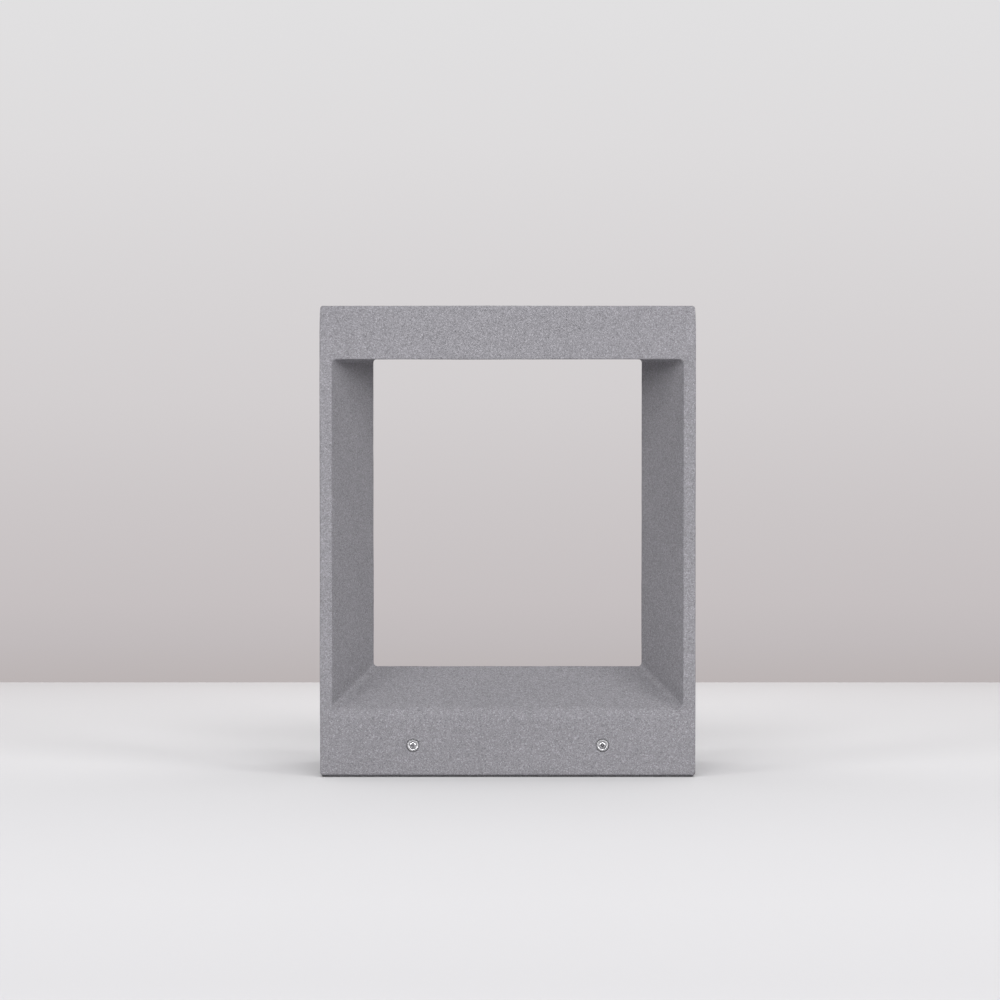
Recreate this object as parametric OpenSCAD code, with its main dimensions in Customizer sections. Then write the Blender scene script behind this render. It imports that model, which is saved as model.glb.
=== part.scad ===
// Garden lantern: a cast stone frame that stands upright on the ground, with an LED light
// engine let into the underside of its top beam and the wiring in a pocket in its base.
// X runs left to right, Y from the front to the back and Z up. The origin is on the ground,
// under the centre of the base.

/* [Stone frame] */
// Width of the stone frame
body_w = 200; // [200:1:220]
// Depth of the stone frame from front to back
body_d = 100; // [98:1:120]
// Height of the stone frame above its base gasket
body_h = 250; // [200:1:320]
// Height of the top beam
top_beam_h = 28.5; // [28:0.5:40]
// Height of the bottom beam at its front and rear edges
bottom_beam_h = 34.5; // [30:0.5:44]
// Width of each leg at its front and rear edges
leg_edge_w = 6.5; // [5:0.5:6.5]
// How much thicker each leg is at its ridge, halfway back
leg_bevel = 21; // [18:0.5:21]
// How much higher the bottom beam is at its ridge, halfway back
sill_bevel = 20.5; // [10:0.5:26]
// Radius of the outer corners, seen from the front
corner_r = 1.5; // [0.5:0.5:4]

/* [Body screws] */
// Distance between the two screws on the front, and on the back
screw_spacing = 101; // [96:1:106]
// Height of the screws above the ground
screw_z = 17; // [15:1:20]
// Head diameter of the body screws
screw_head_d = 6; // [5:0.5:7]
// How far the screw heads sit below the stone's face
screw_sink = 0.5; // [0.2:0.1:1]

/* [Light engine] */
// Length of the aluminium LED housing
housing_l = 100; // [96:1:104]
// Width of the aluminium LED housing
housing_w = 59; // [56:1:62]
// Number of LED packages in each row on the board
led_columns = 8; // [4:1:8]
// Number of rows of LED packages
led_rows = 2; // [1:1:2]

/* [Base] */
// Thickness of the foam gasket under the stone
gasket_t = 1; // [1:0.5:3]
// Height of the wiring pocket in the stone
pocket_h = 30; // [30:1:33]
// Thickness of the mounting bracket's sheet steel
sheet_t = 2; // [1.5:0.5:2]
// Diameter of the mains cable that the bush in the base guides
mains_cable_d = 8; // [6:0.5:9]
// Diameter of the lead from the driver to the light engine
lead_d = 5; // [4:0.5:5.5]

/* [Hidden] */
$fn = 64;

// cut shapes run past the faces they break by this much
past = 1;
// gap between a screw's shank and its thread, which the plain shanks stand in for
thread_gap = 0.03;

// stone frame
half_w = body_w / 2;
half_d = body_d / 2;
top_z = gasket_t + body_h;
soffit_z = top_z - top_beam_h;
sill_z = gasket_t + bottom_beam_h;
sill_ridge_z = sill_z + sill_bevel;
window_half_w = half_w - leg_edge_w;
ridge_half_w = window_half_w - leg_bevel;

// wiring pocket in the base
pocket_half_l = 70;
pocket_half_w = 36;

// cable duct through the right leg, whose two bends end in the pockets
conduit_od = 10;
conduit_id = 7;
conduit_bend_r = 16;
conduit_x = pocket_half_l + conduit_bend_r;
conduit_low_z = 18;
conduit_high_z = soffit_z + 12.5;

// body screws, whose heads bear on washers at the bottom of counterbores
m3_r = 1.5;
m3_hole_r = 1.7;
screw_head_h = 2.4;
screw_dome_r = 5;
washer_t = 0.5;
washer_r = screw_head_d / 2 + 0.5;
counterbore_r = washer_r + 0.1;
counterbore_depth = screw_head_h + washer_t + screw_sink;
screw_seat_y = half_d - counterbore_depth;
screw_tip_y = 31;
screw_l = screw_seat_y + washer_t - screw_tip_y;
screw_xs = [-screw_spacing / 2, screw_spacing / 2];

// mounting bracket, a U of sheet steel whose flanges hold the rivet nuts
bracket_half_l = 67;
flange_half_l = 62;
flange_out_y = 34.5;
flange_h = 26;
anchor_x = 58;
anchor_y = 21;
anchor_slot_l = 12;
anchor_slot_w = 5.5;
bush_x = 54;
bush_collar_r = 8;
bush_collar_t = 1.5;
bush_sleeve_r = 6.5;
rivet_barrel_r = 2.5;
rivet_collar_r = 3.5;
rivet_collar_t = 0.8;
rivet_l = 7;
rivet_bulge_r = 3.2;
rivet_bulge_l = 1.5;

// wiring box on the bracket, with its bosses outside its seal
box_wall = 2;
box_x0 = -48;
box_x1 = 28;
box_half_w = 25;
box_z0 = sheet_t;
box_rim_z = box_z0 + 24;
lid_gasket_t = 1;
lid_t = 2;
boss_r = 3;
boss_y = 27.5;
boss_xs = [-36, 16];
boss_hole_r = 1.1;
lid_screw_l = 12;
lid_screw_head_r = 2.4;
lid_screw_head_h = 1.3;
fixing_screw_l = 9;

// driver and terminal block in the wiring box
driver_l = 37;
driver_half_w = 21;
driver_h = 20;
driver_x = box_x0 + box_wall + 1;
pole_pitch = 8;
pole_z = 13;
pole_ys = [for (i = [-1.5:1:1.5]) i * pole_pitch];
block_x0 = 2;
block_l = 12;
block_top_z = 19;
block_seat_z = 8;
block_screw_r = 1.2;
block_screw_head_r = 2.2;
block_screw_head_h = 1.6;
sleeve_r = 2.5;
sleeve_bore_r = 1.5;
wire_r = 0.9;
core_r = 0.8;

// cable glands in the right wall of the wiring box and in the LED housing
inlet_gland = [8, 20, -11, 15];
lead_gland = [5, 12, 9, 15];
gland_hex_l = 5;
gland_cap_l = 8;
gland_dome_l = 2;
locknut_t = 3;
gland_seal_l = 6;
gland_wall_t = 1.8;
gland_neck_step = 0.6;
gland_thread_l = box_wall + locknut_t + 1;
mouth_gap = 0.4;

// light engine in the top beam, stacked from its bezel upwards
engine_pocket_half_w = housing_w / 2 + 1.5;
bezel_half_l = 71;
bezel_half_w = housing_w / 2 + 5;
bezel_gap = 0.5;
bezel_sink = 0.2;
bezel_t = 2;
bezel_z = soffit_z + bezel_sink;
lens_z = bezel_z + bezel_t;
lens_flange_t = 2;
lens_gasket_t = 1.5;
housing_z = lens_z + lens_flange_t + lens_gasket_t;
housing_h = 13.5;
housing_top_t = 3.5;
housing_top_z = housing_z + housing_h;
heat_face_z = housing_top_z - housing_top_t;
cavity_half_l = housing_l / 2 - 9;
cavity_half_w = housing_w / 2 - 13;
seal_outer = 5;
seal_inner = 1;
aperture_step = 0.4;
lens_recess = 0.5;
bezel_screw_x = 42;
bezel_screw_y = housing_w / 2 - 4;
bezel_screw_l = 10;
bezel_screw_head_r = 2.75;
bezel_screw_head_h = 1.65;
pad_t = 0.5;
board_t = 1.6;
board_half_l = cavity_half_l - 4;
board_half_w = cavity_half_w - 1.5;
board_z = heat_face_z - pad_t - board_t;
board_screw_x = board_half_l - 4;
board_screw_y = board_half_w - 4;
board_screw_l = 5;
board_screw_head_r = 2.5;
board_screw_head_h = 1.6;
led_side = 3;
led_t = 0.7;
led_pitch_x = 6.8;
led_pitch_y = 12;
connector_x = 26;
connector_l = 8;
connector_half_w = 4.5;
connector_h = 5;
core_entry_z = board_z - connector_h / 2;
insert_x = 24;
insert_r = 3;
insert_l = 6;
m4_r = 2;
housing_screw_l = 8;
housing_screw_head_r = 3.8;
housing_screw_head_h = 2.3;

// the lead to the light engine, from the wiring box through the duct to the LED housing
lead_start_x = 24;
lead_bend_x = 43;
lead_end_x = cavity_half_l - 2;
lead_gland_z = lead_gland[3];
lead_sides = 8;
bend_steps = 8;

// ---- helpers

// a block centred on the Z axis, with its bottom face at z
module slab(l, w, h, z = 0) {
    translate([-l / 2, -w / 2, z]) cube([l, w, h]);
}

module ring_slab(half_l, half_w, band, h, z) {
    difference() {
        slab(2 * half_l, 2 * half_w, h, z);
        slab(2 * (half_l - band), 2 * (half_w - band), h + 2 * past, z - past);
    }
}

module at_each(points) {
    for (p = points) translate(p) children();
}

// turns a shape made along +Z so that it points along +X
module along_x() {
    rotate([0, 90, 0]) children();
}

// a crossed recess that is cut down from z = 0
module cross_recess(size, depth) {
    arm_w = size / 4;
    translate([0, 0, -depth / 2 + past / 2]) {
        cube([size, arm_w, depth + past], center = true);
        cube([arm_w, size, depth + past], center = true);
    }
}

// a pan head screw that bears at z = 0, with its head above and its shank below
module pan_screw(shank_r, head_r, head_h, shank_l, dome_r) {
    recess_w = 1.1 * head_r;
    recess_depth = 0.55 * head_h;
    difference() {
        union() {
            translate([0, 0, -shank_l]) cylinder(r = shank_r - thread_gap, h = shank_l + head_h / 2);
            intersection() {
                cylinder(r = head_r, h = head_h);
                translate([0, 0, head_h - dome_r]) sphere(r = dome_r);
            }
        }
        translate([0, 0, head_h]) cross_recess(recess_w, recess_depth);
    }
}

// a countersunk screw whose flat head ends at z = 0, with everything below
module flat_screw(shank_r, head_r, head_h, shank_l) {
    recess_depth = 0.6 * head_h;
    difference() {
        union() {
            translate([0, 0, -shank_l]) cylinder(r = shank_r - thread_gap, h = shank_l - head_h / 2);
            translate([0, 0, -head_h]) cylinder(r1 = shank_r - thread_gap, r2 = head_r, h = head_h);
        }
        cross_recess(head_r, recess_depth);
    }
}

// the countersink and clearance hole for a flat_screw, cut down from z = 0
module flat_screw_hole(hole_r, head_r, head_h, depth) {
    translate([0, 0, -depth]) cylinder(r = hole_r, h = depth + past);
    translate([0, 0, -head_h]) cylinder(r1 = hole_r, r2 = head_r, h = head_h);
    translate([0, 0, -thread_gap]) cylinder(r = head_r, h = past);
}

module hex_prism(across_flats, h) {
    rotate([0, 0, 90]) cylinder(r = across_flats / sqrt(3), h = h, $fn = 6);
}

// ---- stone frame

// the outline seen from the front, with its four corners rounded
module frame_outline() {
    for (x = [-1, 1], z = [gasket_t + corner_r, top_z - corner_r])
        translate([x * (half_w - corner_r), z]) circle(r = corner_r);
    translate([-half_w, gasket_t + corner_r]) square([body_w, body_h - 2 * corner_r]);
    translate([-half_w + corner_r, gasket_t]) square([body_w - 2 * corner_r, body_h]);
}

// a side that narrows from both faces to a ridge halfway back, as seen along the window's edge
module window_plan() {
    spread = leg_bevel * past / half_d;
    polygon([
        [ridge_half_w, 0], [window_half_w + spread, half_d + past],
        [-window_half_w - spread, half_d + past], [-ridge_half_w, 0],
        [-window_half_w - spread, -half_d - past], [window_half_w + spread, -half_d - past]
    ]);
}

module window_side() {
    fall = sill_bevel * past / half_d;
    polygon([
        [0, sill_ridge_z], [half_d + past, sill_z - fall], [half_d + past, soffit_z],
        [-half_d - past, soffit_z], [-half_d - past, sill_z - fall]
    ]);
}

module window_cut() {
    intersection() {
        linear_extrude(height = top_z) window_plan();
        rotate([90, 0, 90]) translate([0, 0, -half_w]) linear_extrude(height = body_w) window_side();
    }
}

// the duct's centre line swept by a circle or ring of the given radii
module duct(outer_r, inner_r) {
    run_z0 = conduit_low_z + conduit_bend_r;
    run_z1 = conduit_high_z - conduit_bend_r;
    translate([conduit_x, 0, run_z0]) duct_section(outer_r, inner_r, run_z1 - run_z0);
    translate([pocket_half_l, 0, run_z1]) rotate([90, 0, 0]) duct_bend(outer_r, inner_r);
    translate([pocket_half_l, 0, run_z0]) rotate([-90, 0, 0]) duct_bend(outer_r, inner_r);
}

module duct_section(outer_r, inner_r, l) {
    difference() {
        cylinder(r = outer_r, h = l);
        if (inner_r > 0) translate([0, 0, -past]) cylinder(r = inner_r, h = l + 2 * past);
    }
}

module duct_bend(outer_r, inner_r) {
    rotate_extrude(angle = 90) translate([conduit_bend_r, 0]) difference() {
        circle(r = outer_r);
        if (inner_r > 0) circle(r = inner_r);
    }
}

// the clearance hole and counterbore for one body screw on the front
module screw_passage() {
    translate([0, -half_d - past, 0]) rotate([-90, 0, 0]) {
        cylinder(r = m3_hole_r, h = half_d - pocket_half_w + 2 * past);
        cylinder(r = counterbore_r, h = counterbore_depth + past);
    }
}

// places a front fitting at both screws on the front, and turned round at both on the back
module at_body_screws() {
    for (turn = [0, 180], x = screw_xs)
        rotate([0, 0, turn]) translate([x, 0, screw_z]) children();
}

module engine_pocket() {
    left = -housing_l / 2 - bezel_gap;
    translate([left, -engine_pocket_half_w, soffit_z - past])
        cube([pocket_half_l - left, 2 * engine_pocket_half_w, housing_top_z - soffit_z + past]);
    slab(2 * (bezel_half_l + bezel_gap), 2 * (bezel_half_w + bezel_gap), lens_z - soffit_z + past,
        soffit_z - past);
}

module stone_frame() {
    color("#9c9a9f") difference() {
        translate([0, half_d, 0]) rotate([90, 0, 0]) linear_extrude(height = body_d) frame_outline();
        window_cut();
        slab(2 * pocket_half_l, 2 * pocket_half_w, pocket_h + past, gasket_t - past);
        engine_pocket();
        duct(conduit_od / 2, 0);
        at_body_screws() screw_passage();
        at_each([for (x = [-insert_x, insert_x]) [x, 0, housing_top_z - past]])
            cylinder(r = insert_r, h = insert_l + past);
    }
}

module cable_conduit() {
    color("#55585c") duct(conduit_od / 2, conduit_id / 2);
}

// ---- base

module base_gasket() {
    inset = 1.2;
    band = 8;
    color("#2a2a2c") ring_slab(half_w - inset, half_d - inset, band, gasket_t, 0);
}

module anchor_slot() {
    end_x = (anchor_slot_l - anchor_slot_w) / 2;
    translate([0, 0, -past]) {
        for (x = [-end_x, end_x]) translate([x, 0, 0]) cylinder(d = anchor_slot_w, h = sheet_t + 2 * past);
        slab(2 * end_x, anchor_slot_w, sheet_t + 2 * past);
    }
}

// the two bosses that take a fixing screw from below, on one diagonal
function fixing_points() = [[boss_xs[0], -boss_y, 0], [boss_xs[1], boss_y, 0]];

module mounting_bracket() {
    color("#b4b8ba") difference() {
        union() {
            slab(2 * bracket_half_l, 2 * flange_out_y, sheet_t);
            for (side = [-1, 1]) translate([0, side * (flange_out_y - sheet_t / 2), 0])
                slab(2 * flange_half_l, sheet_t, flange_h);
        }
        for (x = [-anchor_x, anchor_x], y = [-anchor_y, anchor_y]) translate([x, y, 0]) anchor_slot();
        translate([bush_x, 0, -past]) cylinder(r = bush_sleeve_r, h = sheet_t + 2 * past);
        at_each([for (x = screw_xs) [x, 0, screw_z]]) rotate([90, 0, 0])
            cylinder(r = rivet_barrel_r, h = 2 * flange_out_y + 2 * past, center = true);
        at_each(fixing_points()) mirror([0, 0, 1])
            flat_screw_hole(m3_hole_r, bezel_screw_head_r, bezel_screw_head_h, sheet_t + past);
    }
}

module rivet_nuts() {
    color("#c9ccd0") at_body_screws() translate([0, -flange_out_y, 0]) rotate([-90, 0, 0]) difference() {
        union() {
            translate([0, 0, -rivet_collar_t]) cylinder(r = rivet_collar_r, h = rivet_collar_t);
            cylinder(r = rivet_barrel_r, h = rivet_l);
            translate([0, 0, sheet_t]) cylinder(r = rivet_bulge_r, h = rivet_bulge_l);
        }
        translate([0, 0, -rivet_collar_t - past]) cylinder(r = m3_r, h = rivet_l + rivet_collar_t + 2 * past);
    }
}

module body_screws() {
    color("#d9dadb") at_body_screws() translate([0, -screw_seat_y - washer_t, 0]) rotate([90, 0, 0])
        pan_screw(m3_r, screw_head_d / 2, screw_head_h, screw_l, screw_dome_r);
}

module screw_washers() {
    color("#c4c6c8") at_body_screws() translate([0, -screw_seat_y, 0]) rotate([90, 0, 0]) difference() {
        cylinder(r = washer_r, h = washer_t);
        translate([0, 0, -past]) cylinder(r = m3_hole_r, h = washer_t + 2 * past);
    }
}

module cable_bush() {
    color("#232325") translate([bush_x, 0, 0]) difference() {
        union() {
            cylinder(r = bush_sleeve_r, h = sheet_t);
            translate([0, 0, sheet_t]) cylinder(r = bush_collar_r, h = bush_collar_t);
        }
        translate([0, 0, -past]) cylinder(d = mains_cable_d + 1, h = sheet_t + bush_collar_t + 2 * past);
    }
}

// the wiring box's outline, bosses included, as a plate of thickness h at z
module box_plate(h, z) {
    translate([box_x0, -box_half_w, z]) cube([box_x1 - box_x0, 2 * box_half_w, h]);
    for (x = boss_xs, side = [-1, 1]) {
        translate([x, side * boss_y, z]) cylinder(r = boss_r, h = h);
        translate([x - boss_r, side > 0 ? box_half_w : -boss_y, z])
            cube([2 * boss_r, boss_y - box_half_w, h]);
    }
}

module box_inside(h, z) {
    translate([box_x0 + box_wall, -box_half_w + box_wall, z])
        cube([box_x1 - box_x0 - 2 * box_wall, 2 * (box_half_w - box_wall), h]);
}

module at_bosses(z) {
    for (x = boss_xs, y = [-boss_y, boss_y]) translate([x, y, z]) children();
}

module wiring_box() {
    color("#3b3e42") difference() {
        box_plate(box_rim_z - box_z0, box_z0);
        box_inside(box_rim_z, box_z0 + box_wall);
        at_bosses(box_rim_z - lid_screw_l) cylinder(r = boss_hole_r, h = lid_screw_l + past);
        at_each(fixing_points()) translate([0, 0, box_z0 - past])
            cylinder(r = m3_r, h = fixing_screw_l + past);
        for (gland = [inlet_gland, lead_gland])
            translate([box_x1 - box_wall - past, gland[2], gland[3]])
                along_x() cylinder(r = gland[0], h = box_wall + 2 * past);
    }
}

module lid_gasket() {
    color("#1f1f20") difference() {
        box_plate(lid_gasket_t, box_rim_z);
        box_inside(lid_gasket_t + 2 * past, box_rim_z - past);
        at_bosses(box_rim_z - past) cylinder(r = m3_hole_r, h = lid_gasket_t + 2 * past);
    }
}

module wiring_box_lid() {
    lid_z = box_rim_z + lid_gasket_t;
    color("#44484c") difference() {
        box_plate(lid_t, lid_z);
        at_bosses(lid_z - past) cylinder(r = m3_hole_r, h = lid_t + 2 * past);
    }
}

module lid_screws() {
    color("#c4c6c8") at_bosses(box_rim_z + lid_gasket_t + lid_t)
        pan_screw(boss_hole_r, lid_screw_head_r, lid_screw_head_h, lid_screw_l, screw_dome_r);
}

module box_fixing_screws() {
    color("#c4c6c8") at_each(fixing_points()) mirror([0, 0, 1])
        flat_screw(m3_r, bezel_screw_head_r, bezel_screw_head_h, fixing_screw_l);
}

// ---- driver and terminals

module led_driver() {
    groove = 1;
    rim = 3;
    color("#e6e6e3") translate([driver_x, -driver_half_w, box_z0 + box_wall]) difference() {
        cube([driver_l, 2 * driver_half_w, driver_h]);
        translate([rim, rim, driver_h - groove])
            cube([driver_l - 2 * rim, 2 * (driver_half_w - rim), groove + past]);
    }
}

module driver_leads() {
    start_x = driver_x + driver_l;
    end_x = block_x0 + block_l / 4;
    color("#7c3b2c") at_each([for (y = pole_ys) [start_x, y, pole_z]])
        along_x() cylinder(r = wire_r, h = end_x - start_x);
}

// the two screws of every pole, and the fixing screws between the poles
function pole_screw_points(z) = [for (y = pole_ys, f = [0.25, 0.75]) [block_x0 + f * block_l, y, z]];
function block_fixing_points(z) = [for (side = [-1, 1]) [block_x0 + block_l / 2, side * pole_pitch, z]];

module terminal_block() {
    half_w = 2 * pole_pitch;
    base_z = box_z0 + box_wall;
    notch_w = 1.2;
    notch_h = 5;
    fixing_gap = 0.1;
    color("#d8d5c8") difference() {
        translate([block_x0, -half_w, base_z]) cube([block_l, 2 * half_w, block_top_z - base_z]);
        at_each([for (y = pole_ys) [block_x0 - past, y, pole_z]])
            along_x() cylinder(r = sleeve_r, h = block_l + 2 * past);
        at_each(pole_screw_points(pole_z)) cylinder(r = sleeve_bore_r + thread_gap, h = block_top_z);
        at_each(block_fixing_points(base_z - past)) cylinder(r = block_screw_r + fixing_gap, h = block_top_z);
        at_each(block_fixing_points(block_seat_z))
            cylinder(r = block_screw_head_r + fixing_gap, h = block_top_z);
        for (y = [-2, 0, 2]) translate([block_x0 + block_l / 2, y * pole_pitch / 2, block_top_z])
            cube([block_l + past, notch_w, 2 * notch_h], center = true);
    }
}

module terminal_sleeves() {
    color("#c8a24a") difference() {
        at_each([for (y = pole_ys) [block_x0, y, pole_z]]) along_x() cylinder(r = sleeve_r, h = block_l);
        at_each([for (y = pole_ys) [block_x0 - past, y, pole_z]])
            along_x() cylinder(r = sleeve_bore_r, h = block_l + 2 * past);
        at_each(pole_screw_points(pole_z)) cylinder(r = sleeve_bore_r - 2 * thread_gap, h = 2 * sleeve_r);
    }
}

module terminal_screws() {
    wire_gap = 0.2;
    head_sink = 0.5;
    slot_w = 0.4;
    slot_h = 0.8;
    tip_z = pole_z + wire_r + wire_gap;
    head_z = block_top_z - head_sink;
    color("#d0d2d4") at_each(pole_screw_points(0)) difference() {
        translate([0, 0, tip_z]) cylinder(r = sleeve_bore_r - 3 * thread_gap, h = head_z - tip_z);
        translate([0, 0, head_z]) cube([2 * sleeve_r, slot_w, 2 * slot_h], center = true);
    }
}

module terminal_block_screws() {
    floor_z = box_z0 + box_wall;
    shank_l = block_seat_z - floor_z;
    color("#c4c6c8") at_each(block_fixing_points(block_seat_z))
        pan_screw(block_screw_r, block_screw_head_r, block_screw_head_h, shank_l, screw_dome_r);
}

// ---- cable glands, each written as [thread radius, across flats, y, z]

// a hexagon that bears on its wall at x = 0, with its thread through the wall and its mouth outside
module gland_body(gland) {
    bore_r = gland[0] - gland_wall_t;
    neck_r = gland[0] - gland_neck_step;
    along_x() difference() {
        union() {
            translate([0, 0, -gland_thread_l]) cylinder(r = gland[0] - thread_gap, h = gland_thread_l);
            hex_prism(gland[1], gland_hex_l);
            translate([0, 0, gland_hex_l]) cylinder(r = neck_r, h = gland_cap_l - gland_dome_l);
        }
        translate([0, 0, -gland_thread_l - past])
            cylinder(r = bore_r, h = gland_thread_l + gland_hex_l + gland_cap_l);
    }
}

module gland_cap(gland, cable_r) {
    neck_r = gland[0] - gland_neck_step;
    along_x() translate([0, 0, gland_hex_l]) difference() {
        union() {
            hex_prism(gland[1], gland_cap_l - gland_dome_l);
            cylinder(r1 = gland[1] / 2, r2 = gland[1] / 2 - gland_dome_l, h = gland_cap_l);
        }
        translate([0, 0, -past]) cylinder(r = neck_r + thread_gap, h = gland_cap_l - gland_dome_l + past);
        translate([0, 0, -past]) cylinder(r = cable_r + mouth_gap, h = gland_cap_l + 2 * past);
    }
}

module gland_seal(gland, cable_r) {
    seal_r = gland[0] - gland_wall_t - thread_gap;
    along_x() translate([0, 0, gland_hex_l]) difference() {
        cylinder(r = seal_r, h = gland_seal_l - thread_gap);
        translate([0, 0, -past]) cylinder(r = cable_r, h = gland_seal_l + 2 * past);
    }
}

// the two places of the lead's glands: outside the wiring box, and outside the LED housing
module at_lead_glands() {
    translate([box_x1, lead_gland[2], lead_gland_z]) children();
    translate([housing_l / 2, 0, conduit_high_z]) children();
}

module at_inlet_gland() {
    translate([box_x1, inlet_gland[2], inlet_gland[3]]) children();
}

module inlet_gland_body() {
    color("#2e3033") at_inlet_gland() gland_body(inlet_gland);
}

module inlet_gland_cap() {
    color("#2e3033") at_inlet_gland() gland_cap(inlet_gland, mains_cable_d / 2);
}

module inlet_gland_seal() {
    color("#111112") at_inlet_gland() gland_seal(inlet_gland, mains_cable_d / 2);
}

module lead_gland_bodies() {
    color("#2e3033") at_lead_glands() gland_body(lead_gland);
}

module lead_gland_caps() {
    color("#2e3033") at_lead_glands() gland_cap(lead_gland, lead_d / 2);
}

module lead_gland_seals() {
    color("#111112") at_lead_glands() gland_seal(lead_gland, lead_d / 2);
}

module gland_locknuts() {
    color("#2e3033") for (gland = [inlet_gland, lead_gland])
        translate([box_x1 - box_wall - locknut_t, gland[2], gland[3]]) along_x() difference() {
            hex_prism(gland[1], locknut_t);
            translate([0, 0, -past]) cylinder(r = gland[0], h = locknut_t + 2 * past);
        }
}

// ---- the lead

function unit(v) = v / norm(v);
function ease(t) = t * t * (3 - 2 * t);
function lerp(a, b, t) = a + (b - a) * t;

// points along a bend of the duct's radius about a centre, in the XZ plane
function bend_points(centre, from, to) = [
    for (i = [0:bend_steps])
        let (angle = lerp(from, to, i / bend_steps))
        [centre[0] + conduit_bend_r * cos(angle), 0, centre[1] + conduit_bend_r * sin(angle)]
];

lead_path = concat(
    [[lead_start_x, lead_gland[2], lead_gland_z]],
    [for (i = [0:bend_steps]) let (t = i / bend_steps) [
        lerp(lead_bend_x, pocket_half_l - 1, t),
        lerp(lead_gland[2], 0, ease(t)),
        lerp(lead_gland_z, conduit_low_z, ease(t))
    ]],
    bend_points([pocket_half_l, conduit_low_z + conduit_bend_r], -90, 0),
    bend_points([pocket_half_l, conduit_high_z - conduit_bend_r], 0, 90),
    [[lead_end_x, 0, conduit_high_z]]
);

// the ring of points around one point of a path, square to the path there
function path_ring(path, i, r) =
    let (
        before = path[max(i - 1, 0)],
        after = path[min(i + 1, len(path) - 1)],
        along = unit(after - before),
        up = unit(cross(along, [0, 1, 0])),
        side = cross(up, along)
    )
    [for (k = [0:lead_sides - 1])
        let (angle = 360 * k / lead_sides)
        path[i] + r * (cos(angle) * side + sin(angle) * up)];

// a round tube of radius r along a path that never runs along Y
module sweep(path, r) {
    rings = [for (i = [0:len(path) - 1]) path_ring(path, i, r)];
    points = [for (ring = rings) each ring];
    last = len(points) - lead_sides;
    walls = [
        for (i = [0:len(path) - 2], k = [0:lead_sides - 1])
            let (a = i * lead_sides + k, b = i * lead_sides + (k + 1) % lead_sides)
            [a, a + lead_sides, b + lead_sides, b]
    ];
    start_cap = [for (k = [0:lead_sides - 1]) k];
    end_cap = [for (k = [lead_sides - 1:-1:0]) last + k];
    polyhedron(points, concat([start_cap], walls, [end_cap]), convexity = 10);
}

module led_lead() {
    color("#1c1c1e") sweep(lead_path, lead_d / 2);
}

// points along an eased S from one point to another, with a short straight at each end
function core_path(start, end, straight) = concat(
    [start],
    [for (k = [0:bend_steps]) let (t = k / bend_steps) [
        lerp(start[0] - straight, end[0] + straight, t),
        lerp(start[1], end[1], ease(t)),
        lerp(start[2], end[2], ease(t))
    ]],
    [end]
);

module lead_cores() {
    core_gap = 1.1;
    straight = 0.6;
    pole_end_x = block_x0 + 0.72 * block_l;
    color("#b23a2e") for (i = [0, 1]) {
        y = (2 * i - 1) * core_gap;
        pole_y = pole_ys[2 + i];
        low_start = [lead_start_x, lead_gland[2] + y, lead_gland_z];
        low_end = [block_x0 + block_l, pole_y, pole_z];
        high_start = [lead_end_x, y, conduit_high_z];
        high_end = [connector_x + connector_l, y, core_entry_z];
        sweep(concat(core_path(low_start, low_end, straight), [[pole_end_x, pole_y, pole_z]]), core_r);
        sweep(core_path(high_start, high_end, straight), core_r);
    }
}

// ---- light engine

module led_housing() {
    pad_r = 3.5;
    tip_gap = 1;
    bezel_hole_l = bezel_screw_l - bezel_t + tip_gap;
    board_hole_l = board_screw_l - board_t - pad_t + tip_gap / 4;
    housing_hole_r = m4_r + 0.2;
    fin_gap = 3;
    fin_pitch = 6;
    fin_depth = 1;
    color("#c8cbcd") difference() {
        union() {
            slab(housing_l, housing_w, housing_h, housing_z);
            at_bezel_screws(lens_z) cylinder(r = pad_r, h = housing_z - lens_z + past);
        }
        slab(2 * cavity_half_l, 2 * cavity_half_w, heat_face_z - housing_z + past, housing_z - past);
        at_bezel_screws(lens_z - past) cylinder(r = m3_r, h = bezel_hole_l + past);
        at_board_screws(heat_face_z - past) cylinder(r = m3_r, h = board_hole_l + past);
        at_each([for (x = [-insert_x, insert_x]) [x, 0, heat_face_z]]) mirror([0, 0, 1])
            flat_screw_hole(housing_hole_r, housing_screw_head_r, housing_screw_head_h, housing_top_t + past);
        translate([cavity_half_l - past, 0, conduit_high_z])
            along_x() cylinder(r = lead_gland[0], h = housing_l / 2 - cavity_half_l + 2 * past);
        for (y = [fin_pitch:fin_pitch:housing_w / 2 - fin_gap], side = [-1, 1]) translate([0, side * y, 0])
            slab(housing_l + past, fin_gap, fin_depth + past, housing_top_z - fin_depth);
    }
}

module at_bezel_screws(z) {
    for (x = [-bezel_screw_x, 0, bezel_screw_x], y = [-bezel_screw_y, bezel_screw_y])
        translate([x, y, z]) children();
}

module at_board_screws(z) {
    for (x = [-board_screw_x, board_screw_x], y = [-board_screw_y, board_screw_y])
        translate([x, y, z]) children();
}

module housing_inserts() {
    color("#c8a24a") at_each([for (x = [-insert_x, insert_x]) [x, 0, housing_top_z]]) difference() {
        cylinder(r = insert_r, h = insert_l);
        translate([0, 0, -past]) cylinder(r = m4_r, h = insert_l);
    }
}

module housing_screws() {
    color("#d0d2d4") at_each([for (x = [-insert_x, insert_x]) [x, 0, heat_face_z]]) mirror([0, 0, 1])
        flat_screw(m4_r, housing_screw_head_r, housing_screw_head_h, housing_screw_l);
}

module thermal_pad() {
    color("#8fa3b5") difference() {
        slab(2 * board_half_l, 2 * board_half_w, pad_t, heat_face_z - pad_t);
        at_board_screws(heat_face_z - pad_t - past) cylinder(r = m3_hole_r, h = pad_t + 2 * past);
    }
}

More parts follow.
